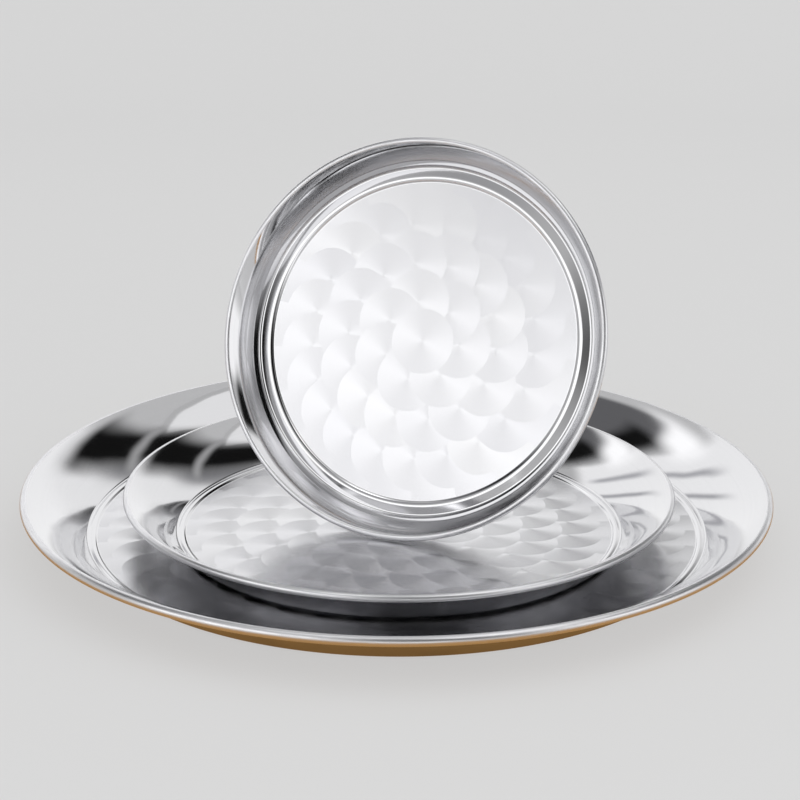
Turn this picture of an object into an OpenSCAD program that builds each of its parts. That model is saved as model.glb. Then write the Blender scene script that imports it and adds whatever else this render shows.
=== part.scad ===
// Set of three round stainless serving trays in three sizes.
// Each tray is one pressed sheet: a flat floor that it stands on, a low raised rib
// round the floor, a flared wall, and a rim rolled outward into a hollow bead.
// The medium tray lies in the large one, and the small tray stands on its rim in
// the medium one, leaning back. The origin is under the centre of the large tray.

/* [Large tray] */
// Outside diameter across the rolled rim
large_rim_d = 300; // [280:1:340]
// Diameter of the flat floor inside the rib
large_floor_d = 241; // [236:1:244]
// Width of the rib's straight back, towards the wall
large_back_w = 0.6; // [0.3:0.1:1.2]
// Radius of the bend where the wall leaves the rib, at mid-sheet
large_foot_r = 1.4; // [1:0.1:2]
// Outside diameter of the rolled bead
large_bead_d = 3.6; // [2.6:0.1:4.4]
// Height from the underside to the top of the rim
large_h = 19.7; // [16:0.1:26]

/* [Medium tray] */
// Outside diameter across the rolled rim
medium_rim_d = 220; // [208:1:228]
// Diameter of the flat floor inside the rib
medium_floor_d = 171; // [166:1:174]
// Width of the rib's straight back, towards the wall
medium_back_w = 0.4; // [0.3:0.1:1.2]
// Radius of the bend where the wall leaves the rib, at mid-sheet
medium_foot_r = 1.4; // [1:0.1:2]
// Outside diameter of the rolled bead
medium_bead_d = 2.8; // [2.4:0.1:4]
// Height from the underside to the top of the rim
medium_h = 18.4; // [16:0.1:26]

/* [Small tray] */
// Outside diameter across the rolled rim
small_rim_d = 161; // [156:1:168]
// Diameter of the flat floor inside the rib
small_floor_d = 129; // [124:1:130]
// Width of the rib's straight back, towards the wall
small_back_w = 2.8; // [2:0.1:3.2]
// Radius of the bend where the wall leaves the rib, at mid-sheet
small_foot_r = 1.4; // [1:0.1:2]
// Outside diameter of the rolled bead
small_bead_d = 2.8; // [2.4:0.1:4]
// Height from the underside to the top of the rim
small_h = 16.3; // [14:0.1:20]

/* [Pressed sheet] */
// Thickness of the stainless sheet
sheet_t = 0.5; // [0.4:0.05:0.8]
// Gap left between the end of the roll and the wall
bead_gap = 0.5; // [0.3:0.1:1]
// Height of the rib above the floor
rib_h = 0.8; // [0.6:0.1:1.2]
// Radius of the hollow bend at the floor's edge, at mid-sheet
hollow_r = 1.2; // [1:0.1:1.8]
// Radius of the rib's crown, at mid-sheet
crown_r = 2.4; // [1.8:0.1:3]
// Fall of the rib's back towards the wall, in degrees
rib_fall = 10; // [4:1:12]
// How far the wall's slope departs from its mean at each end, in degrees
wall_flare = 16; // [6:1:18]

/* [Arrangement] */
// Gap between a tray and the one that it rests in
rest_gap = 0.3; // [0.15:0.05:0.4]
// Sideways place of the medium tray in the large one
medium_x = 1; // [-6:0.1:6]
// Place of the medium tray towards the back of the large one
medium_y = -5.4; // [-8:0.1:6]
// Sideways place of the small tray's rim circle
small_x = 4.9; // [-6:0.1:8]
// Place of the small tray's rim circle towards the back
small_y = 4.7; // [-6:0.1:8]
// Lean of the small tray back from upright, in degrees
small_lean = 20.6; // [10:0.1:28]
// Turn of the small tray to the left, in degrees
small_turn = 21; // [0:0.5:30]

/* [Hidden] */

$fn = 180;
// Degrees of turn per step along a bend, and steps along the wall's long arc
BEND_STEP = 9;
WALL_STEPS = 10;
// Passes that settle the mean slope of a wall, far more than it needs
SLOPE_PASSES = 30;
STEEL = [0.80, 0.80, 0.82];

// Heights of the medium and small tray's seats above the table
medium_seat = sheet_t + rest_gap;
small_seat = medium_seat + sheet_t + rest_gap;

// Rib at mid-sheet: the height of its crown, and the turn and radial width of its rise
crown_z = sheet_t / 2 + rib_h;
rib_turn = acos(1 - rib_h / (hollow_r + crown_r));
rise_w = (hollow_r + crown_r) * sin(rib_turn);

// End of a rib's back at mid-sheet, and centre of the bend from there into the wall,
// as [radius, height]
function back_end(floor_d, back_w) = [
    floor_d / 2 + rise_w + crown_r * sin(rib_fall) + back_w * cos(rib_fall),
    crown_z - crown_r * (1 - cos(rib_fall)) - back_w * sin(rib_fall)
];
function foot_centre(floor_d, back_w, foot_r) =
    back_end(floor_d, back_w) + foot_r * [sin(rib_fall), cos(rib_fall)];

// Rolled bead: its centre in the section as [radius, height], its radius at
// mid-sheet, and how far it turns before it nears the wall
function bead_centre(rim_d, bead_d, h) = [(rim_d - bead_d) / 2, h - bead_d / 2];
function bead_mid_r(bead_d) = (bead_d - sheet_t) / 2;
function bead_turn(bead_d) = 360 - acos(1 - (sheet_t + bead_gap) / bead_mid_r(bead_d));

// Ends of a wall at mid-sheet, where it leaves the foot bend and meets the bead
function wall_start(foot, foot_r, slope) = foot + foot_r * [sin(slope), -cos(slope)];
function wall_end(bead, bead_r, slope) = bead + bead_r * [-sin(slope), cos(slope)];

// Mean slope of a wall: the direction between its ends, which depend on it a little
function mean_slope(foot, foot_r, bead, bead_r, guess, passes) =
    passes == 0 ? guess :
    let (
        low = wall_start(foot, foot_r, guess + wall_flare),
        run = wall_end(bead, bead_r, guess - wall_flare) - low
    )
    mean_slope(foot, foot_r, bead, bead_r, atan2(run.y, run.x), passes - 1);

// Points of a bend after its first, as [radius, height, heading]
function bend(centre, r, from, to, steps) = [
    for (i = [1:steps])
        let (a = from + (to - from) * i / steps)
        [centre.x + r * cos(a), centre.y + r * sin(a), a + (to > from ? 90 : -90)]
];
function bend_steps(turn) = ceil(abs(turn) / BEND_STEP);

// Mid-sheet line of a tray from its axis to the end of the rolled bead
function mid_line(rim_d, floor_d, back_w, foot_r, bead_d, h) =
    let (
        floor_z = sheet_t / 2,
        r_floor = floor_d / 2,
        back = back_end(floor_d, back_w),
        foot = foot_centre(floor_d, back_w, foot_r),
        bead = bead_centre(rim_d, bead_d, h),
        bead_r = bead_mid_r(bead_d),
        slope = mean_slope(foot, foot_r, bead, bead_r, 45, SLOPE_PASSES),
        steep = slope + wall_flare,
        shallow = slope - wall_flare,
        start = wall_start(foot, foot_r, steep),
        wall_r = norm(wall_end(bead, bead_r, shallow) - start) / (2 * sin(wall_flare)),
        wall_centre = start + wall_r * [sin(steep), -cos(steep)],
        roll = bead_turn(bead_d)
    )
    concat(
        [[0, floor_z, 0], [r_floor, floor_z, 0]],
        bend([r_floor, floor_z + hollow_r], hollow_r, 270, 270 + rib_turn, bend_steps(rib_turn)),
        bend([r_floor + rise_w, crown_z - crown_r], crown_r, 90 + rib_turn, 90 - rib_fall, bend_steps(rib_turn + rib_fall)),
        [[back.x, back.y, -rib_fall]],
        bend(foot, foot_r, 270 - rib_fall, 270 + steep, bend_steps(rib_fall + steep)),
        bend(wall_centre, wall_r, 90 + steep, 90 + shallow, WALL_STEPS),
        bend(bead, bead_r, 90 + shallow, 90 + shallow - roll, bend_steps(roll))
    );

// Points on one side of a mid-sheet line, at a distance d to its left
function side(line, d) = [for (p = line) [p.x - d * sin(p[2]), p.y + d * cos(p[2])]];
function reversed(list) = [for (i = [len(list) - 1:-1:0]) list[i]];

// One tray standing on its floor, centred on the Z axis
module tray(rim_d, floor_d, back_w, foot_r, bead_d, h) {
    line = mid_line(rim_d, floor_d, back_w, foot_r, bead_d, h);
    color(STEEL)
        rotate_extrude()
            polygon(concat(side(line, sheet_t / 2), reversed(side(line, -sheet_t / 2))));
}

// The large tray stands on the table
module large_tray() {
    tray(large_rim_d, large_floor_d, large_back_w, large_foot_r, large_bead_d, large_h);
}

// The medium tray lies on the large tray's floor
module medium_tray() {
    translate([medium_x, medium_y, medium_seat])
        tray(medium_rim_d, medium_floor_d, medium_back_w, medium_foot_r, medium_bead_d, medium_h);
}

// The small tray stands on its rolled bead on the medium tray's floor
module small_tray() {
    bead = bead_centre(small_rim_d, small_bead_d, small_h);
    rise = small_seat + small_bead_d / 2 + bead.x * cos(small_lean);
    translate([small_x, small_y, rise])
        rotate([90 - small_lean, 0, -small_turn])
            translate([0, 0, -bead.y])
                tray(small_rim_d, small_floor_d, small_back_w, small_foot_r, small_bead_d, small_h);
}

large_tray();
medium_tray();
small_tray();
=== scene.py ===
"""Dresses a set of three round stainless serving trays: meshes, finishes, studio and camera."""
import logging
import math
from dataclasses import dataclass, field
from enum import Enum
from typing import Any

import bpy
import numpy as np
from mathutils import Matrix, Vector


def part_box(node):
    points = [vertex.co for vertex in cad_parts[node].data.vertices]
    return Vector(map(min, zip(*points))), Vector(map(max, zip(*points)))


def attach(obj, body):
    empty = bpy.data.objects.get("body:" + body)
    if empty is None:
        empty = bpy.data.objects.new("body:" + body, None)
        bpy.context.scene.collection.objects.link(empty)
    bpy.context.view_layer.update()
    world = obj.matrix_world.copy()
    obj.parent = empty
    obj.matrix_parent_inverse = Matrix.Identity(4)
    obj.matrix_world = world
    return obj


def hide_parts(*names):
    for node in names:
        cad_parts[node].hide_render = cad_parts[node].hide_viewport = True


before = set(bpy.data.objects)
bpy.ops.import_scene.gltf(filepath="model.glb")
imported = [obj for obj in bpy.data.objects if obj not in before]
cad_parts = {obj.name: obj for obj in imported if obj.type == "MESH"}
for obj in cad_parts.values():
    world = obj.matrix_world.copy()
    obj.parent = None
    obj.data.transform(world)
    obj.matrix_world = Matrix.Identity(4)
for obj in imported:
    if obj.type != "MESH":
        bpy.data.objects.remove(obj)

log = logging.getLogger("trays")

Socket = bpy.types.NodeSocket

MM = 0.001  # the frame is in metres, and the trays' sizes below are in millimetres
WHITE = "FFFFFF"
BLACK = "161616"

# Passes that settle the mean slope of a wall, far more than it needs
SLOPE_PASSES = 30
# Corners of a quad
QUAD = 4
# Turn of a stretched reflection against the tangent, as a share of a whole turn
QUARTER_TURN = 0.25
# Sockets of a Mix node by number, because its colours and vectors share their names
COLOUR_A, COLOUR_B, COLOUR_OUT = 6, 7, 2
VECTOR_A, VECTOR_B, VECTOR_OUT = 4, 5, 1


class Zone(Enum):
    """Part of a tray that has its own finish, in the order of the mesh's material slots."""

    POLISHED = 0
    SWIRL_FLOOR = 1
    OUTSIDE = 2
    RIM = 3


def linear(hex_colour: str) -> tuple[float, float, float, float]:
    """Turns an sRGB hex colour into the linear colour that a shader takes.

    Args:
        hex_colour: six hex digits, such as "D8D8DA".

    Returns:
        Linear red, green, blue and an alpha of 1.
    """
    parts = [int(hex_colour[i:i + 2], 16) / 255 for i in (0, 2, 4)]
    red, green, blue = [c / 12.92 if c <= 0.04045 else ((c + 0.055) / 1.055) ** 2.4 for c in parts]
    return red, green, blue, 1.0


def add_node(
    tree: bpy.types.NodeTree, kind: str, inputs: dict[int | str, Any] | None = None, **settings: Any
) -> bpy.types.Node:
    """Adds a node with its settings and links.

    Args:
        tree: the node tree that gets the node.
        kind: the node's type, without its "ShaderNode" prefix.
        inputs: for each input, by name or number, a value or the output socket linked to it.
        settings: attributes of the node, such as operation="ADD".

    Returns:
        The new node.
    """
    node = tree.nodes.new("ShaderNode" + kind)
    for name, value in settings.items():
        setattr(node, name, value)
    for key, value in (inputs or {}).items():
        if isinstance(value, Socket):
            tree.links.new(value, node.inputs[key])
        else:
            node.inputs[key].default_value = value
    return node


def new_material(name: str) -> tuple[bpy.types.Material, bpy.types.NodeTree]:
    """Makes an empty node material.

    Args:
        name: the material's name.

    Returns:
        The material and its node tree.
    """
    material = bpy.data.materials.new(name)
    material.use_nodes = True
    material.node_tree.nodes.clear()
    return material, material.node_tree


def place_on_tray(tree: bpy.types.NodeTree) -> tuple[Socket, Socket, Socket, Socket]:
    """Adds the nodes that say where on its tray a point is, in metres and radians.

    Args:
        tree: the material's node tree.

    Returns:
        Sockets with the point, its distance from the tray's axis, its angle round that and its height.
    """
    place = add_node(tree, "TexCoord").outputs["Object"]
    axes = add_node(tree, "SeparateXYZ", {0: place}).outputs
    across = add_node(tree, "VectorMath", {0: place, 1: (1, 1, 0)}, operation="MULTIPLY")
    radius = add_node(tree, "VectorMath", {0: across.outputs[0]}, operation="LENGTH")
    angle = add_node(tree, "Math", {0: axes["Y"], 1: axes["X"]}, operation="ARCTAN2")
    return place, radius.outputs["Value"], angle.outputs[0], axes["Z"]


@dataclass(frozen=True)
class TurnedSteel:
    """What the steel finishes share that were buffed or belted while the tray turned.

    That leaves fine marks round the axis, which draw reflections out across them. Each finish
    also has its own lines or blotches, where the steel is a little duller and rougher.
    """

    name: str
    colour: str
    mark_colour: str
    roughness: float
    mark_roughness: float
    mark_levels: tuple[float, float]  # noise at which a line or blotch begins and is full
    stretch: float  # how far reflections are drawn out, from 0 to 1

    def shade(self, tree: bpy.types.NodeTree, marks: Socket, normal: Socket | None = None) -> None:
        """Adds the steel's shader and the material's output.

        Args:
            tree: the material's node tree.
            marks: socket with the noise that the lines or blotches come from.
            normal: socket with the bumped normal, where there is one.
        """
        begin, full = self.mark_levels
        share = add_node(
            tree, "MapRange", {"Value": marks, "From Min": begin, "From Max": full}
        ).outputs[0]
        tones = {COLOUR_A: linear(self.colour), COLOUR_B: linear(self.mark_colour)}
        colour = add_node(tree, "Mix", {0: share, **tones}, data_type="RGBA")
        roughness = add_node(tree, "MapRange", {
            "Value": share, "To Min": self.roughness, "To Max": self.mark_roughness,
        })
        round_axis = add_node(tree, "Tangent", direction_type="RADIAL", axis="Z")
        shader = add_node(tree, "BsdfPrincipled", {
            "Base Color": colour.outputs[COLOUR_OUT], "Metallic": 1.0, "Roughness": roughness.outputs[0],
            "Anisotropic": self.stretch, "Anisotropic Rotation": QUARTER_TURN,
            "Tangent": round_axis.outputs[0],
        })
        if normal is not None:
            tree.links.new(normal, shader.inputs["Normal"])
        add_node(tree, "OutputMaterial", {"Surface": shader.outputs[0]})


@dataclass(frozen=True)
class PolishedSteel(TurnedSteel):
    """Stainless sheet, pressed and then buffed to a mirror round its axis.

    It gives the eye sharp reflections that are drawn out a little across the buffing lines,
    and that waver slightly because a pressed wall is never quite true.
    """

    name: str = "polished_stainless_steel"
    colour: str = "DADADC"
    mark_colour: str = "D8D8DA"
    roughness: float = 0.06
    mark_roughness: float = 0.085
    mark_levels: tuple[float, float] = (0.45, 0.8)
    stretch: float = 0.35
    line_spacing: float = 0.7  # millimetres; real buffing lines are finer than a pixel
    line_detail: float = 3.0  # finer layers of noise in the lines
    wave_length: float = 34.0  # millimetres between the pressing's soft waves
    wave_detail: float = 1.0
    wave_depth: float = 0.24  # millimetres

    def build(self) -> bpy.types.Material:
        """Makes the material.

        Returns:
            The finished material.
        """
        material, tree = new_material(self.name)
        place, radius, angle, height = place_on_tray(tree)
        fine = 1 / (self.line_spacing * MM)
        ring = add_node(tree, "Math", {0: radius, 1: fine}, operation="MULTIPLY")
        level = add_node(tree, "Math", {0: height, 1: fine}, operation="MULTIPLY")
        lines_at = add_node(tree, "CombineXYZ", {0: ring.outputs[0], 1: level.outputs[0], 2: angle})
        lines = add_node(tree, "TexNoise", {
            "Vector": lines_at.outputs[0], "Scale": 1.0, "Detail": self.line_detail,
        })
        waves = add_node(tree, "TexNoise", {
            "Vector": place, "Scale": 1 / (self.wave_length * MM), "Detail": self.wave_detail,
        })
        bump = add_node(tree, "Bump", {"Height": waves.outputs[0], "Distance": self.wave_depth * MM})
        self.shade(tree, lines.outputs[0], bump.outputs[0])
        return material


@dataclass(frozen=True)
class OutsideSteel(TurnedSteel):
    """Outside of the sheet, left as it came from the press after a light buff.

    It gives the eye a softer mirror with faint blotches. Its grey is darker than the steel's own: partly
    a duller pressed face, partly painted shade for the dark gap where the trays nest.
    """

    name: str = "buffed_stainless_outside_painted_shade"
    # Darker grey: partly a duller outside, partly painted shade for the gap between the nested trays
    colour: str = "9D9DA0"
    mark_colour: str = "929295"
    roughness: float = 0.14
    mark_roughness: float = 0.24
    mark_levels: tuple[float, float] = (0.35, 0.7)
    stretch: float = 0.3
    blotch: float = 16.0  # millimetres across a blotch
    blotch_detail: float = 4.0  # finer layers of noise in the blotches
    wave_depth: float = 0.04  # millimetres

    def build(self) -> bpy.types.Material:
        """Makes the material.

        Returns:
            The finished material.
        """
        material, tree = new_material(self.name)
        place = add_node(tree, "TexCoord").outputs["Object"]
        blotches = add_node(tree, "TexNoise", {
            "Vector": place, "Scale": 1 / (self.blotch * MM), "Detail": self.blotch_detail,
        }).outputs[0]
        bump = add_node(tree, "Bump", {"Height": blotches, "Distance": self.wave_depth * MM})
        self.shade(tree, blotches, bump.outputs[0])
        return material


@dataclass(frozen=True)
class SatinRim(TurnedSteel):
    """Rolled rim, finished with a fine belt while the tray turned.

    The belt's lines run along the rim and spread the light across it, so it shows as one
    soft pale band.
    """

    name: str = "satin_stainless_rim"
    colour: str = "E8E8EA"
    mark_colour: str = "DEDEE1"
    roughness: float = 0.3
    mark_roughness: float = 0.38
    mark_levels: tuple[float, float] = (0.35, 0.7)
    stretch: float = 0.5
    line_length: float = 9.0  # millimetres
    line_spacing: float = 0.4  # millimetres; real belt lines are finer than a pixel
    line_detail: float = 2.0  # finer layers of noise in the lines

    def build(self) -> bpy.types.Material:
        """Makes the material.

        Returns:
            The finished material.
        """
        material, tree = new_material(self.name)
        _, radius, angle, height = place_on_tray(tree)
        along = add_node(tree, "Math", {0: angle, 1: radius}, operation="MULTIPLY")
        lines_at = add_node(tree, "CombineXYZ", {0: radius, 1: height, 2: along.outputs[0]})
        fine, long = 1 / (self.line_spacing * MM), 1 / (self.line_length * MM)
        scaled = add_node(
            tree, "VectorMath", {0: lines_at.outputs[0], 1: (fine, fine, long)}, operation="MULTIPLY"
        )
        lines = add_node(tree, "TexNoise", {
            "Vector": scaled.outputs[0], "Scale": 1.0, "Detail": self.line_detail,
        })
        self.shade(tree, lines.outputs[0])
        return material


@dataclass(frozen=True)
class SwirlSteel:
    """Stainless floor, jewelled with a turning abrasive pad in rings of overlapping round spots.

    The scratches run in circles round each spot, so light spreads across them and each spot
    shows as two opposite bright fans and two dark ones that meet in its centre. Inner rings
    were ground last and lie on top, and in a ring each spot lies on the one before it. Each
    spot is a very shallow dish, and some are a little duller than others.
    """

    name: str
    floor_r: float  # millimetres, as are the next five
    edge_to_ring: float = 17.0  # from the floor's edge to the outermost ring of spot centres
    ring_pitch: float = 15.7
    spot_pitch: float = 14.0
    pad_r: float = 13.2
    least_ring_r: float = 0.5  # keeps the innermost ring from shrinking to a point
    ring_turn: float = 0.9  # radians that each ring is turned against the one inside it
    scratch_spacing: float = 0.5  # millimetres; real scratches are finer than a pixel
    scratch_detail: float = 2.0  # finer layers of noise in the scratches
    scratch_levels: tuple[float, float] = (0.35, 0.75)  # noise where one begins and is full
    dish: float = 0.0005  # slope that a spot's face gains per millimetre from its centre
    colour: str = "DFDFE1"
    dull_colour: str = "DBDBDE"
    spot_tone: float = 0.31  # how fast the dullness changes from spot to spot, per millimetre
    dull_levels: tuple[float, float] = (0.3, 0.7)  # noise where a spot is bright and where dull
    roughness: float = 0.255
    scratch_roughness: float = 0.27
    stretch: float = 0.85  # how far light spreads across the scratches, from 0 to 1

    @property
    def first_ring(self) -> float:
        """Radius of the innermost ring of spots, so that the outermost one ends up at its place."""
        return (self.floor_r - self.edge_to_ring) % self.ring_pitch

    @property
    def last_ring(self) -> int:
        """Number of the outermost ring, counted from 0 at the innermost."""
        return int((self.floor_r - self.edge_to_ring) // self.ring_pitch)

    def spot_offset(
        self, tree: bpy.types.NodeTree, place: Socket, radius: Socket, angle: Socket, ring: Socket
    ) -> Socket:
        """Adds the nodes that find the top spot of one ring over each point.

        Args:
            tree: the material's node tree.
            place: socket with the point in millimetres.
            radius: socket with its distance from the tray's axis.
            angle: socket with its angle round the axis.
            ring: socket with the ring's number.

        Returns:
            Socket with the point's offset from that spot's centre.
        """
        first_r = max(self.first_ring, self.least_ring_r)
        ring_r = add_node(
            tree, "Math", {0: ring, 1: self.ring_pitch, 2: first_r}, operation="MULTIPLY_ADD"
        ).outputs[0]
        turn = add_node(tree, "Math", {0: ring, 1: self.ring_turn}, operation="MULTIPLY").outputs[0]
        # The whole number of spots that comes nearest to the pitch, but one at least
        per_mm = math.tau / self.spot_pitch
        wanted = add_node(tree, "Math", {0: ring_r, 1: per_mm}, operation="MULTIPLY")
        whole = add_node(tree, "Math", {0: wanted.outputs[0]}, operation="ROUND")
        count = add_node(tree, "Math", {0: whole.outputs[0], 1: 1.0}, operation="MAXIMUM")
        step = add_node(
            tree, "Math", {0: math.tau, 1: count.outputs[0]}, operation="DIVIDE"
        ).outputs[0]
        # Half the angle that the pad covers at this radius, from the cosine rule
        point_sq = add_node(tree, "Math", {0: radius, 1: radius}, operation="MULTIPLY")
        both_sq = add_node(
            tree, "Math", {0: ring_r, 1: ring_r, 2: point_sq.outputs[0]}, operation="MULTIPLY_ADD"
        )
        above = add_node(
            tree, "Math", {0: both_sq.outputs[0], 1: self.pad_r ** 2}, operation="SUBTRACT"
        )
        below = add_node(tree, "Math", {0: radius, 1: ring_r}, operation="MULTIPLY")
        twice = add_node(tree, "Math", {0: below.outputs[0], 1: 2.0}, operation="MULTIPLY")
        cosine = add_node(tree, "Math", {0: above.outputs[0], 1: twice.outputs[0]}, operation="DIVIDE")
        capped = add_node(tree, "Math", {0: cosine.outputs[0], 1: 1.0}, operation="MINIMUM")
        half = add_node(tree, "Math", {0: capped.outputs[0]}, operation="ARCCOSINE")
        # The last spot whose leading edge has passed this angle lies on top
        turned = add_node(tree, "Math", {0: angle, 1: turn}, operation="ADD")
        reach = add_node(tree, "Math", {0: turned.outputs[0], 1: half.outputs[0]}, operation="ADD")
        index = add_node(tree, "Math", {0: reach.outputs[0], 1: step}, operation="DIVIDE")
        number = add_node(tree, "Math", {0: index.outputs[0]}, operation="FLOOR")
        spot = add_node(tree, "Math", {0: number.outputs[0], 1: step}, operation="MULTIPLY")
        at = add_node(tree, "Math", {0: spot.outputs[0], 1: turn}, operation="SUBTRACT").outputs[0]
        x = add_node(tree, "Math", {0: at}, operation="COSINE")
        y = add_node(tree, "Math", {0: at}, operation="SINE")
        way = add_node(tree, "CombineXYZ", {0: x.outputs[0], 1: y.outputs[0]})
        centre = add_node(tree, "VectorMath", {0: way.outputs[0], "Scale": ring_r}, operation="SCALE")
        offset = add_node(tree, "VectorMath", {0: place, 1: centre.outputs[0]}, operation="SUBTRACT")
        return offset.outputs[0]

    def top_spot_offset(self, tree: bpy.types.NodeTree, flat: Socket) -> Socket:
        """Adds the nodes that find the spot that lies on top at each point, of all rings.

        Args:
            tree: the material's node tree.
            flat: socket with the point on the floor in millimetres.

        Returns:
            Socket with the point's offset from that spot's centre.
        """
        axes = add_node(tree, "SeparateXYZ", {0: flat}).outputs
        radius = add_node(tree, "VectorMath", {0: flat}, operation="LENGTH").outputs["Value"]
        angle = add_node(tree, "Math", {0: axes["Y"], 1: axes["X"]}, operation="ARCTAN2").outputs[0]
        # The innermost ring whose pads reach this radius lies on top, unless the point falls
        # between its pads
        first_reach, last = self.pad_r + self.first_ring, float(self.last_ring)
        inside = add_node(tree, "Math", {0: radius, 1: first_reach}, operation="SUBTRACT")
        steps = add_node(tree, "Math", {0: inside.outputs[0], 1: self.ring_pitch}, operation="DIVIDE")
        number = add_node(tree, "Math", {0: steps.outputs[0]}, operation="CEIL")
        least = add_node(tree, "Math", {0: number.outputs[0], 1: 0.0}, operation="MAXIMUM")
        ring = add_node(tree, "Math", {0: least.outputs[0], 1: last}, operation="MINIMUM").outputs[0]
        after = add_node(tree, "Math", {0: ring, 1: 1.0}, operation="ADD")
        outer = add_node(tree, "Math", {0: after.outputs[0], 1: last}, operation="MINIMUM").outputs[0]
        top = self.spot_offset(tree, flat, radius, angle, ring)
        under = self.spot_offset(tree, flat, radius, angle, outer)
        distance = add_node(tree, "VectorMath", {0: top}, operation="LENGTH").outputs["Value"]
        missed = add_node(tree, "Math", {0: distance, 1: self.pad_r}, operation="GREATER_THAN")
        offset = add_node(
            tree, "Mix", {0: missed.outputs[0], VECTOR_A: top, VECTOR_B: under}, data_type="VECTOR"
        )
        return offset.outputs[VECTOR_OUT]

    def build(self) -> bpy.types.Material:
        """Makes the material.

        Returns:
            The finished material.
        """
        material, tree = new_material(self.name)
        place = add_node(tree, "TexCoord").outputs["Object"]
        to_mm = (1 / MM, 1 / MM, 0)
        flat = add_node(tree, "VectorMath", {0: place, 1: to_mm}, operation="MULTIPLY").outputs[0]
        offset = self.top_spot_offset(tree, flat)
        # Circular scratches, fine rings of their own round each spot
        from_centre = add_node(tree, "VectorMath", {0: offset}, operation="LENGTH").outputs["Value"]
        fine = 1 / self.scratch_spacing
        rings = add_node(tree, "Math", {0: from_centre, 1: fine}, operation="MULTIPLY")
        scratches = add_node(
            tree, "TexNoise", {"W": rings.outputs[0], "Scale": 1.0, "Detail": self.scratch_detail},
            noise_dimensions="1D",
        )
        begin, full = self.scratch_levels
        share = add_node(tree, "MapRange", {
            "Value": scratches.outputs[0], "From Min": begin, "From Max": full,
        })
        roughness = add_node(tree, "MapRange", {
            "Value": share.outputs[0], "To Min": self.roughness, "To Max": self.scratch_roughness,
        })
        # The pad wears, so some spots are a little duller than others
        centre = add_node(tree, "VectorMath", {0: flat, 1: offset}, operation="SUBTRACT")
        tone = add_node(tree, "TexNoise", {
            "Vector": centre.outputs[0], "Scale": self.spot_tone, "Detail": 0.0,
        })
        bright, worn = self.dull_levels
        dull = add_node(tree, "MapRange", {
            "Value": tone.outputs[0], "From Min": bright, "From Max": worn,
        })
        tones = {COLOUR_A: linear(self.colour), COLOUR_B: linear(self.dull_colour)}
        colour = add_node(tree, "Mix", {0: dull.outputs[0], **tones}, data_type="RGBA")
        # Light spreads across the scratches, which is straight away from the spot's centre
        spread = add_node(
            tree, "VectorTransform", {0: offset},
            vector_type="VECTOR", convert_from="OBJECT", convert_to="WORLD",
        ).outputs[0]
        # Each spot is a very shallow dish, so its face leans towards its centre
        facing = add_node(tree, "NewGeometry").outputs["Normal"]
        inward = (-self.dish, -self.dish, -self.dish)
        leaning = add_node(
            tree, "VectorMath", {0: spread, 1: inward, 2: facing}, operation="MULTIPLY_ADD"
        )
        normal = add_node(tree, "VectorMath", {0: leaning.outputs[0]}, operation="NORMALIZE")
        shader = add_node(tree, "BsdfPrincipled", {
            "Base Color": colour.outputs[COLOUR_OUT], "Metallic": 1.0, "Roughness": roughness.outputs[0],
            "Anisotropic": self.stretch, "Tangent": spread, "Normal": normal.outputs[0],
        })
        add_node(tree, "OutputMaterial", {"Surface": shader.outputs[0]})
        return material


@dataclass(frozen=True)
class PressedSheet:
    """What the three trays share: the sheet and its bends, in millimetres and degrees."""

    thickness: float = 0.5
    bead_gap: float = 0.5  # between the end of the rolled rim and the wall
    rib_h: float = 0.8  # of the rib above the floor
    hollow_r: float = 1.2  # of the bend at the floor's edge, at mid-sheet
    crown_r: float = 2.4  # of the rib's crown, at mid-sheet
    rib_fall: float = 10.0  # of the rib's back towards the wall
    wall_flare: float = 16.0  # how far the wall's slope departs from its mean at each end
    rest_gap: float = 0.3  # between a tray and the one that it rests in


def bend(centre: np.ndarray, r: float, start: float, end: float, steps: int) -> np.ndarray:
    """Gives the points of a bend after its first.

    Args:
        centre: the bend's centre as radius and height.
        r: the bend's radius.
        start: angle of its first point from the centre, in radians.
        end: angle of its last point.
        steps: how many points to give.

    Returns:
        Rows of radius, height and heading.
    """
    angles = start + (end - start) * np.arange(1, steps + 1) / steps
    heading = angles + math.copysign(math.pi / 2, end - start)
    return np.column_stack([centre[0] + r * np.cos(angles), centre[1] + r * np.sin(angles), heading])


def spin(section: np.ndarray, turns: int) -> np.ndarray:
    """Turns section points round the axis, one ring of points after another.

    Args:
        section: rows of radius and height.
        turns: how many points each ring gets.

    Returns:
        Rows of x, y and z.
    """
    angle = np.linspace(0, math.tau, turns, endpoint=False)
    r, z = section[:, :1], section[:, 1:]
    height = np.broadcast_to(z, (len(section), turns))
    return np.stack([r * np.cos(angle), r * np.sin(angle), height], axis=-1).reshape(-1, 3)


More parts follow.
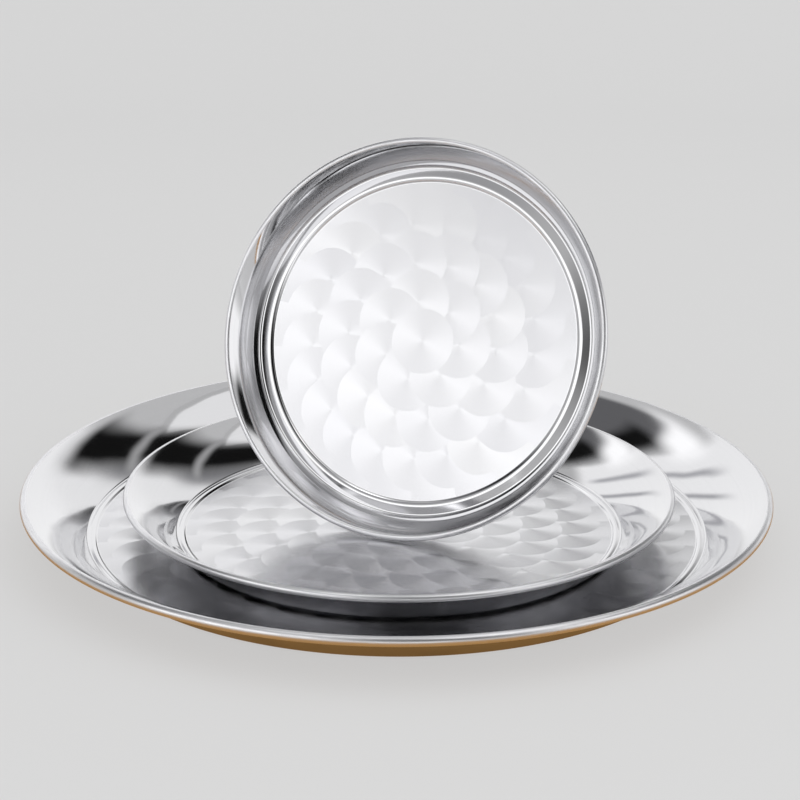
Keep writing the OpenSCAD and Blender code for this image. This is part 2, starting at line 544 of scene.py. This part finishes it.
@dataclass
class Tray:
    """One pressed tray, with its sizes in millimetres and its place in the frame."""

    node: str
    body: str
    rim_d: float  # across the rolled rim
    floor_d: float  # of the flat floor inside the rib
    back_w: float  # of the rib's straight back
    foot_r: float  # of the bend from the rib into the wall, at mid-sheet
    bead_d: float  # of the rolled rim's section
    height: float  # from the underside to the top of the rim
    sheet: PressedSheet
    place: Matrix = field(default_factory=lambda: Matrix.Identity(4))
    segments: int = 256
    floor_rings: int = 12
    bend_steps: int = 14
    wall_steps: int = 28
    bead_steps: int = 48

    @property
    def bead_centre(self) -> np.ndarray:
        """Centre of the rolled rim in the section, as radius and height."""
        return np.array([(self.rim_d - self.bead_d) / 2, self.height - self.bead_d / 2])

    @property
    def bead_mid_r(self) -> float:
        """Radius of the rolled rim at mid-sheet."""
        return (self.bead_d - self.sheet.thickness) / 2

    def wall_ends(
        self, foot: np.ndarray, steep: float, shallow: float
    ) -> tuple[np.ndarray, np.ndarray]:
        """Finds where the wall leaves the foot bend and where it meets the rolled rim.

        Args:
            foot: centre of the foot bend.
            steep: the wall's slope at its foot, in radians.
            shallow: its slope at the rim.

        Returns:
            The two points, as radius and height.
        """
        start = foot + self.foot_r * np.array([math.sin(steep), -math.cos(steep)])
        end = self.bead_centre + self.bead_mid_r * np.array([-math.sin(shallow), math.cos(shallow)])
        return start, end

    def mid_line(self) -> np.ndarray:
        """Follows the middle of the sheet from the axis to the end of the rolled rim.

        Returns:
            Rows of radius, height and heading, in millimetres and radians.
        """
        s = self.sheet
        floor_z, floor_r = s.thickness / 2, self.floor_d / 2
        crown_z = floor_z + s.rib_h
        rise = math.acos(1 - s.rib_h / (s.hollow_r + s.crown_r))
        crown_at = floor_r + (s.hollow_r + s.crown_r) * math.sin(rise)
        fall, flare = math.radians(s.rib_fall), math.radians(s.wall_flare)
        crown_drop = s.crown_r * (1 - math.cos(fall))
        back_start = np.array([crown_at + s.crown_r * math.sin(fall), crown_z - crown_drop])
        back_end = back_start + self.back_w * np.array([math.cos(fall), -math.sin(fall)])
        foot = back_end + self.foot_r * np.array([math.sin(fall), math.cos(fall)])
        slope = math.pi / 4
        # The wall's mean slope is the direction between its ends, which depend on it a little
        for _ in range(SLOPE_PASSES):
            start, end = self.wall_ends(foot, slope + flare, slope - flare)
            slope = math.atan2(end[1] - start[1], end[0] - start[0])
        steep, shallow = slope + flare, slope - flare
        start, end = self.wall_ends(foot, steep, shallow)
        wall_r = math.dist(start, end) / (2 * math.sin(flare))
        wall_centre = start + wall_r * np.array([math.sin(steep), -math.cos(steep)])
        roll = math.tau - math.acos(1 - (s.thickness + s.bead_gap) / self.bead_mid_r)
        up, down = math.pi / 2, 3 * math.pi / 2
        hollow = np.array([floor_r, floor_z + s.hollow_r])
        crown = np.array([crown_at, crown_z - s.crown_r])
        bead, meets = self.bead_centre, up + shallow
        floor = np.zeros((self.floor_rings + 1, 3))
        floor[:, 0] = np.linspace(0, floor_r, self.floor_rings + 1)
        floor[:, 1] = floor_z
        return np.vstack([
            floor,
            bend(hollow, s.hollow_r, down, down + rise, self.bend_steps),
            bend(crown, s.crown_r, up + rise, up - fall, self.bend_steps),
            [[*back_end, -fall]],
            bend(foot, self.foot_r, down - fall, down + steep, self.bend_steps),
            bend(wall_centre, wall_r, up + steep, meets, self.wall_steps),
            bend(bead, self.bead_mid_r, meets, meets - roll, self.bead_steps),
        ])

    def faces(self, rings: int) -> list[list[int]]:
        """Joins rings of points with quads, and the first and last ring with the two poles.

        Args:
            rings: how many rings of points there are, with the poles after them.

        Returns:
            The points of each face: quads ring by ring, then the upper and the lower pole's triangles.
        """
        turns = self.segments
        here = np.arange(turns)
        after = (here + 1) % turns
        near = (np.arange(rings - 1) * turns)[:, None]
        far = near + turns
        quads = np.stack([near + here, far + here, far + after, near + after], axis=-1)
        last = (rings - 1) * turns
        upper_pole, lower_pole = np.full(turns, rings * turns), np.full(turns, rings * turns + 1)
        faces = quads.reshape(-1, QUAD).tolist()
        faces += np.column_stack([upper_pole, here, after]).tolist()
        faces += np.column_stack([last + here, lower_pole, last + after]).tolist()
        return faces

    def zones(self, line_points: int) -> np.ndarray:
        """Says which zone each face belongs to, in the order of the faces.

        Args:
            line_points: how many points the mid-sheet line has.

        Returns:
            The number of each face's zone.
        """
        turns = self.segments
        cut_end = line_points - 2
        zone = np.full(2 * cut_end + 1, Zone.POLISHED.value)
        zone[:self.floor_rings - 1] = Zone.SWIRL_FLOOR.value
        zone[cut_end - self.bead_steps:] = Zone.RIM.value
        zone[cut_end + 1:] = Zone.OUTSIDE.value
        poles = [Zone.SWIRL_FLOOR.value, Zone.OUTSIDE.value]
        return np.repeat(np.concatenate([zone, poles]), turns).astype(np.int32)

    def build(self) -> bpy.types.Object:
        """Turns the section into a closed mesh with exact normals, in the tray's place.

        Returns:
            The tray's object, with one material index per zone.
        """
        turns = self.segments
        line = self.mid_line()
        across = np.column_stack([-np.sin(line[:, 2]), np.cos(line[:, 2])])
        half = self.sheet.thickness / 2
        upper, lower = line[:, :2] + half * across, line[:, :2] - half * across
        outline = np.vstack([upper[1:], lower[:0:-1]])
        facing = np.vstack([across[1:], -across[:0:-1]])
        poles = np.array([[0, 0, upper[0, 1]], [0, 0, lower[0, 1]]])
        points = np.vstack([spin(outline, turns), poles]) * MM
        normals = np.vstack([spin(facing, turns), [[0, 0, 1], [0, 0, -1]]])

        mesh = bpy.data.meshes.new(self.node + "_steel")
        mesh.from_pydata(points.tolist(), [], self.faces(len(outline)))
        mesh.polygons.foreach_set("material_index", self.zones(len(line)))
        mesh.polygons.foreach_set("use_smooth", np.ones(len(mesh.polygons), dtype=bool))
        corner = np.empty(len(mesh.loops), dtype=np.int32)
        mesh.loops.foreach_get("vertex_index", corner)
        corner_normals = normals[corner]
        # The cut end of the sheet inside the roll is flat, so it keeps its own facing
        end_heading = line[-1, 2]
        flat = spin(np.array([[math.cos(end_heading), math.sin(end_heading)]]), turns)
        here = np.arange(turns)
        after = (here + 1) % turns
        turn_of = np.column_stack([here, here, after, after]).reshape(-1)
        cut_start = (len(line) - 2) * turns * QUAD
        corner_normals[cut_start:cut_start + turns * QUAD] = flat[turn_of]
        mesh.normals_split_custom_set(corner_normals.tolist())
        mesh.validate()
        piece = bpy.data.objects.new(self.node + "_steel", mesh)
        piece.matrix_world = self.place
        bpy.context.scene.collection.objects.link(piece)
        return piece

    def dress(self, piece: bpy.types.Object, finishes: dict[Zone, bpy.types.Material]) -> None:
        """Gives the tray its finishes and lets it stand for its solid.

        Args:
            piece: the tray's object.
            finishes: the material of each zone.
        """
        for zone in Zone:
            piece.data.materials.append(finishes[zone])
        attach(piece, self.body)
        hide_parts(self.node)


@dataclass
class TraySet:
    """The three trays as they are set out: nested, with the small one on its rim."""

    sheet: PressedSheet = field(default_factory=PressedSheet)
    medium_at: tuple[float, float] = (1.0, -5.4)  # millimetres
    small_at: tuple[float, float] = (4.9, 4.7)  # millimetres, of the centre of its rim
    small_lean: float = 20.6  # degrees back from upright
    small_turn: float = 21.0  # degrees to the left

    def trays(self) -> list[Tray]:
        """Makes the trays in their places.

        Returns:
            The large, medium and small tray.
        """
        s = self.sheet
        large = Tray(
            "large_tray", "large", rim_d=300.0, floor_d=241.0, back_w=0.6, foot_r=1.4,
            bead_d=3.6, height=19.7, sheet=s,
        )
        medium = Tray(
            "medium_tray", "medium", rim_d=220.0, floor_d=171.0, back_w=0.4, foot_r=1.4,
            bead_d=2.8, height=18.4, sheet=s,
        )
        small = Tray(
            "small_tray", "small", rim_d=161.0, floor_d=129.0, back_w=2.8, foot_r=1.4,
            bead_d=2.8, height=16.3, sheet=s,
        )
        # Each tray that another rests in adds one sheet and one gap
        seat = s.thickness + s.rest_gap
        medium.place = Matrix.Translation(Vector((*self.medium_at, seat)) * MM)
        lean = math.radians(self.small_lean)
        bead_r, bead_z = small.bead_centre
        rise = 2 * seat + small.bead_d / 2 + bead_r * math.cos(lean)
        small.place = (
            Matrix.Translation(Vector((*self.small_at, rise)) * MM)
            @ Matrix.Rotation(-math.radians(self.small_turn), 4, "Z")
            @ Matrix.Rotation(math.pi / 2 - lean, 4, "X")
            @ Matrix.Translation(Vector((0, 0, -bead_z)) * MM)
        )
        return [large, medium, small]


@dataclass(frozen=True)
class PhotoCamera:
    """Camera at the photograph's place, found by fitting the three rims, in millimetres and degrees."""

    aim_height: float = 9.2  # above the table, on the large tray's axis
    distance: float = 773.0
    elevation: float = 21.56
    tilt_up: float = 3.05
    pan_right: float = 0.09
    roll: float = 0.24
    lens: float = 85.5
    sensor: float = 36.0

    def build(self) -> bpy.types.Object:
        """Makes the camera and gives it to the scene.

        Returns:
            The camera's object.
        """
        rise = math.radians(self.elevation)
        aim = Vector((0, 0, self.aim_height)) * MM
        back = Vector((0, -math.cos(rise), math.sin(rise)))
        data = bpy.data.cameras.new("photo_camera")
        data.lens = self.lens
        data.sensor_width = self.sensor
        camera = bpy.data.objects.new("photo_camera", data)
        camera.matrix_world = (
            Matrix.Translation(aim + back * self.distance * MM)
            @ Matrix.Rotation(math.pi / 2 - rise, 4, "X")
            @ Matrix.Rotation(math.radians(self.tilt_up), 4, "X")
            @ Matrix.Rotation(-math.radians(self.pan_right), 4, "Y")
            @ Matrix.Rotation(math.radians(self.roll), 4, "Z")
        )
        bpy.context.scene.collection.objects.link(camera)
        bpy.context.scene.camera = camera
        return camera


@dataclass(frozen=True)
class Softbox:
    """A rectangular lamp, aimed at a point. Its place and size are in metres."""

    name: str
    at: tuple[float, float, float]
    aim: tuple[float, float, float]
    size: tuple[float, float]
    brightness: float  # of its face, where 1 is white
    mirrored: bool = True  # whether polished steel shows it

    def build(self) -> bpy.types.Object:
        """Makes the lamp.

        Returns:
            The lamp's object.
        """
        data = bpy.data.lights.new(self.name, "AREA")
        data.shape = "RECTANGLE"
        data.size, data.size_y = self.size
        data.energy = self.brightness * math.pi * self.size[0] * self.size[1]
        lamp = bpy.data.objects.new(self.name, data)
        way = Vector(self.aim) - Vector(self.at)
        turn = way.to_track_quat("-Z", "Y").to_matrix().to_4x4()
        lamp.matrix_world = Matrix.Translation(self.at) @ turn
        lamp.visible_glossy = self.mirrored
        bpy.context.scene.collection.objects.link(lamp)
        return lamp


def ribbon_faces(steps: int) -> list[tuple[int, int, int, int]]:
    """Joins pairs of points, one pair after another, into a ribbon.

    Args:
        steps: how many faces the ribbon has.

    Returns:
        The points of each face.
    """
    return [(2 * i, 2 * i + 1, 2 * i + 3, 2 * i + 2) for i in range(steps)]


def hidden_card(mesh: bpy.types.Mesh) -> bpy.types.Object:
    """Puts a card on the stage that is seen in polished steel and nowhere else.

    Args:
        mesh: the card's mesh.

    Returns:
        The card's object.
    """
    card = bpy.data.objects.new(mesh.name, mesh)
    card.visible_camera = False
    card.visible_diffuse = False
    card.visible_transmission = False
    card.visible_shadow = False
    bpy.context.scene.collection.objects.link(card)
    return card


@dataclass(frozen=True)
class Card:
    """An evenly lit card, curved round the trays, that only their mirrored light can see.

    The card stock gives the eye one flat tone that thins out towards its edges, so that its
    mirror image is soft.
    """

    name: str
    azimuth: tuple[float, float]  # degrees from the back, clockwise seen from above
    first: tuple[float, float]  # degrees above the table of its low and high edge, where it begins
    last: tuple[float, float] | None = None  # the same where it ends, if it differs
    colour: str = BLACK
    distance: float = 0.9  # metres
    fade: float = 0.3  # share of the card's height over which its low and high edge thin out
    end_fade: float = 0.08  # share of its length over which its ends do
    level: float = 1.0  # brightness of its colour
    steps: int = 32

    def build(self) -> bpy.types.Object:
        """Makes the card.

        Returns:
            The card's object.
        """
        angles = np.radians(np.linspace(*self.azimuth, self.steps + 1))
        edges = np.radians(np.linspace(self.first, self.last or self.first, self.steps + 1))
        points = [
            (self.distance * math.sin(a), self.distance * math.cos(a), self.distance * math.tan(e))
            for a, pair in zip(angles, edges) for e in pair
        ]
        mesh = bpy.data.meshes.new(self.name)
        mesh.from_pydata(points, [], ribbon_faces(self.steps))
        across = mesh.uv_layers.new(name="card")
        for loop in mesh.loops:
            step, up = divmod(loop.vertex_index, 2)
            across.data[loop.index].uv = (step / self.steps, up)
        mesh.materials.append(self.stock())
        return hidden_card(mesh)

    def stock(self) -> bpy.types.Material:
        """Makes the card's material.

        Returns:
            The finished material.
        """
        material, tree = new_material(self.name + "_card_stock")
        at = add_node(tree, "UVMap", uv_map="card").outputs[0]
        inward = add_node(tree, "VectorMath", {0: (1, 1, 1), 1: at}, operation="SUBTRACT")
        nearest = add_node(tree, "VectorMath", {0: at, 1: inward.outputs[0]}, operation="MINIMUM")
        edge = add_node(tree, "SeparateXYZ", {0: nearest.outputs[0]}).outputs
        ends = add_node(
            tree, "MapRange", {"Value": edge["X"], "From Max": self.end_fade},
            interpolation_type="SMOOTHSTEP",
        )
        sides = add_node(
            tree, "MapRange", {"Value": edge["Y"], "From Max": self.fade},
            interpolation_type="SMOOTHSTEP",
        )
        solid = add_node(tree, "Math", {0: ends.outputs[0], 1: sides.outputs[0]}, operation="MULTIPLY")
        clear = add_node(tree, "BsdfTransparent")
        lit = add_node(tree, "Emission", {"Color": linear(self.colour), "Strength": self.level})
        mixed = add_node(tree, "MixShader", {
            0: solid.outputs[0], 1: clear.outputs[0], 2: lit.outputs[0],
        })
        add_node(tree, "OutputMaterial", {"Surface": mixed.outputs[0]})
        return material


@dataclass(frozen=True)
class MattePaper:
    """Background paper, dyed in the pulp and left uncoated.

    It gives the eye one even pale grey, seen straight or mirrored, that keeps a soft shadow.
    """

    name: str = "matte_background_paper"
    colour: str = "E6E6E6"
    seen_colour: str = "DFDFDF"
    evenness: float = 0.7  # share of what is seen that is one tone, whatever the light
    roughness: float = 0.9
    specular: float = 0.2

    def build(self) -> bpy.types.Material:
        """Makes the material.

        Returns:
            The finished material.
        """
        material, tree = new_material(self.name)
        shader = add_node(tree, "BsdfPrincipled", {
            "Base Color": linear(self.colour), "Roughness": self.roughness,
            "Specular IOR Level": self.specular,
        })
        ray = add_node(tree, "LightPath").outputs
        straight, mirrored = ray["Is Camera Ray"], ray["Is Glossy Ray"]
        either = add_node(tree, "Math", {0: straight, 1: mirrored}, operation="ADD")
        through = ray["Is Transmission Ray"]
        seen = add_node(tree, "Math", {0: either.outputs[0], 1: through}, operation="ADD")
        even = add_node(
            tree, "Math", {0: seen.outputs[0], 1: self.evenness}, operation="MULTIPLY", use_clamp=True
        )
        glow = add_node(tree, "Emission", {"Color": linear(self.seen_colour)})
        mixed = add_node(tree, "MixShader", {
            0: even.outputs[0], 1: shader.outputs[0], 2: glow.outputs[0],
        })
        add_node(tree, "OutputMaterial", {"Surface": mixed.outputs[0]})
        return material


@dataclass(frozen=True)
class OiledWood:
    """Wood, planed and oiled. It gives the eye a warm gold of nearly one tone."""

    name: str = "oiled_wood_card"
    colour: str = "BE9056"
    evenness: float = 0.8  # share of what is seen that is one tone, whatever the light
    roughness: float = 0.6

    def build(self) -> bpy.types.Material:
        """Makes the material.

        Returns:
            The finished material.
        """
        material, tree = new_material(self.name)
        colour = linear(self.colour)
        shader = add_node(tree, "BsdfPrincipled", {"Base Color": colour, "Roughness": self.roughness})
        glow = add_node(tree, "Emission", {"Color": colour})
        mixed = add_node(tree, "MixShader", {
            0: self.evenness, 1: shader.outputs[0], 2: glow.outputs[0],
        })
        add_node(tree, "OutputMaterial", {"Surface": mixed.outputs[0]})
        return material


@dataclass
class Studio:
    """A pale paper sweep under soft light, with the cards that the steel mirrors, in metres."""

    paper: MattePaper = field(default_factory=MattePaper)
    wood: OiledWood = field(default_factory=OiledWood)
    wood_r: float = 0.22
    wood_points: int = 96
    ambient_colour: str = WHITE
    ambient: float = 0.58
    half_width: float = 3.0
    front: float = -3.0
    back: float = 1.5
    sweep_r: float = 0.6
    sweep_points: int = 25
    top: float = 2.6
    below: float = 0.0002  # how far the paper lies under the large tray

    def build(self) -> None:
        """Makes the paper, the wood card, the ambient light, the lamps and the other cards."""
        self.build_paper()
        self.build_wood_card()
        self.build_air()
        for light in [*self.lamps(), *self.cards()]:
            light.build()

    def lamps(self) -> list[Softbox]:
        """Lists the lamps, with the part's front towards -Y.

        Returns:
            The lamps.
        """
        return [
            Softbox("front_left", (-0.72, -0.68, 0.36), (0.0, 0.0, 0.08), (1.0, 0.5), 0.94),
            Softbox("overhead", (0.6, 0.0, 1.2), (0.6, 0.0, 0.0), (0.8, 1.3), 0.45),
            Softbox("right", (0.85, -0.5, 0.3), (0.0, 0.0, 0.08), (1.05, 0.7), 1.25, mirrored=False),
            Softbox("front_low", (0.0, -1.4, 0.2), (0.0, 0.0, 0.2), (0.7, 0.3), 0.8),
        ]

    def cards(self) -> list[Card]:
        """Lists the cards round the trays, named for where they stand.

        Returns:
            The cards.
        """
        return [
            Card(
                "back_left_white", azimuth=(-70.0, 14.0), first=(0.0, 34.0), last=(0.0, 40.0),
                colour=WHITE, distance=0.96, fade=0.12, end_fade=0.14, level=1.12,
            ),
            Card(
                "back_right_white", azimuth=(-4.0, 68.0), first=(0.0, 31.0), last=(0.0, 20.0),
                colour=WHITE, distance=0.98, fade=0.3, end_fade=0.16, level=1.04,
            ),
            Card(
                "back_left_glare", azimuth=(-46.0, -8.0), first=(26.0, 43.0), last=(32.0, 50.0),
                colour=WHITE, distance=0.88, fade=0.4, end_fade=0.4, level=1.4,
            ),
            Card(
                "left_grey", azimuth=(-108.0, -16.0), first=(24.0, 54.0), last=(38.0, 68.0),
                colour="6C6C6E", distance=0.92, fade=0.25,
            ),
            Card(
                "left_black", azimuth=(-100.0, -34.0), first=(25.0, 46.0), last=(36.0, 53.0),
                fade=0.4, end_fade=0.2,
            ),
            Card(
                "right_black", azimuth=(8.0, 115.0), first=(21.0, 45.0), last=(22.0, 57.0),
                fade=0.36,
            ),
            Card(
                "right_grey", azimuth=(24.0, 100.0), first=(13.0, 35.0),
                colour="969698", distance=0.93, fade=0.5, end_fade=0.3,
            ),
            Card(
                "right_gap", azimuth=(41.0, 53.0), first=(19.0, 50.0),
                colour=WHITE, distance=0.84, fade=0.2, end_fade=0.5, level=0.42,
            ),
            Card(
                "front_black", azimuth=(138.0, 198.0), first=(6.0, 76.0),
                fade=0.12, end_fade=0.2,
            ),
            Card(
                "right_white", azimuth=(84.0, 142.0), first=(0.0, 37.0),
                colour=WHITE, distance=0.95, fade=0.25, end_fade=0.2, level=1.25,
            ),
            Card(
                "right_high_white", azimuth=(108.0, 170.0), first=(42.0, 82.0),
                colour=WHITE, distance=0.87, fade=0.2, end_fade=0.3, level=1.5,
            ),
            Card(
                "left_streak_low", azimuth=(-66.0, -4.0), first=(8.0, 12.0), last=(13.0, 18.0),
                colour="B2B2B6", distance=0.86, fade=0.5, end_fade=0.25,
            ),
            Card(
                "left_streak_high", azimuth=(-62.0, -8.0), first=(19.0, 24.0), last=(24.0, 30.0),
                colour="BCBCC0", distance=0.86, fade=0.5, end_fade=0.3,
            ),
            Card(
                "upper_left_dark", azimuth=(-168.0, -76.0), first=(44.0, 69.0),
                colour="A2A2A4", distance=0.91, fade=0.25, end_fade=0.2,
            ),
            Card(
                "upper_left_white", azimuth=(-170.0, -70.0), first=(66.0, 83.0),
                colour=WHITE, distance=0.9, fade=0.25, end_fade=0.3, level=2.6,
            ),
        ]

    def build_air(self) -> None:
        """Makes the even light that comes from all round."""
        world = bpy.data.worlds.new("studio_air")
        bpy.context.scene.world = world
        world.use_nodes = True
        tree = world.node_tree
        tree.nodes.clear()
        colour = linear(self.ambient_colour)
        air = add_node(tree, "Background", {"Color": colour, "Strength": self.ambient})
        add_node(tree, "OutputWorld", {"Surface": air.outputs[0]})

    def build_paper(self) -> bpy.types.Object:
        """Makes the sweep of paper that is both floor and backdrop.

        Returns:
            The paper's object.
        """
        centre_y, centre_z = self.back - self.sweep_r, self.sweep_r - self.below
        curve = [
            (centre_y + self.sweep_r * math.sin(a), centre_z - self.sweep_r * math.cos(a))
            for a in np.linspace(0, math.pi / 2, self.sweep_points)
        ]
        section = [(self.front, -self.below), *curve, (self.back, self.top)]
        points = [(x, y, z) for y, z in section for x in (-self.half_width, self.half_width)]
        faces = ribbon_faces(len(section) - 1)
        mesh = bpy.data.meshes.new("paper_sweep")
        mesh.from_pydata(points, [], faces)
        mesh.polygons.foreach_set("use_smooth", [True] * len(faces))
        mesh.materials.append(self.paper.build())
        paper = bpy.data.objects.new("paper_sweep", mesh)
        bpy.context.scene.collection.objects.link(paper)
        return paper

    def build_wood_card(self) -> bpy.types.Object:
        """Makes a round wooden card under the trays that only their mirrored light can see.

        Returns:
            The card's object.
        """
        rim = [
            (self.wood_r * math.cos(a), self.wood_r * math.sin(a), -self.below / 2)
            for a in np.linspace(0, math.tau, self.wood_points, endpoint=False)
        ]
        mesh = bpy.data.meshes.new("wood_card")
        mesh.from_pydata(rim, [], [tuple(range(len(rim)))])
        mesh.materials.append(self.wood.build())
        return hidden_card(mesh)


def check_place(piece: bpy.types.Object, node: str) -> None:
    """Reports how far a piece's box is from that of the solid it stands for.

    Args:
        piece: the dressed piece.
        node: the solid's name.
    """
    corners = np.array([piece.matrix_world @ v.co for v in piece.data.vertices])
    low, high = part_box(node)
    off = max(np.abs(corners.min(0) - low).max(), np.abs(corners.max(0) - high).max())
    log.info("%s stands for %s, off by %.2f mm", piece.name, node, off / MM)


def main() -> None:
    """Builds the camera, the trays and the studio."""
    logging.basicConfig(level=logging.INFO, format="%(name)s: %(message)s")
    log.info("the frame has %d solids", len(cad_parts))
    bpy.context.scene.view_settings.view_transform = "Standard"
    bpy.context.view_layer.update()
    PhotoCamera().build()
    shared = {
        Zone.POLISHED: PolishedSteel().build(),
        Zone.OUTSIDE: OutsideSteel().build(),
        Zone.RIM: SatinRim().build(),
    }
    for tray in TraySet().trays():
        swirl = SwirlSteel("swirl_ground_floor_" + tray.body, tray.floor_d / 2).build()
        piece = tray.build()
        tray.dress(piece, {**shared, Zone.SWIRL_FLOOR: swirl})
        bpy.context.view_layer.update()
        check_place(piece, tray.node)
    Studio().build()


if __name__ == "__main__":
    main()
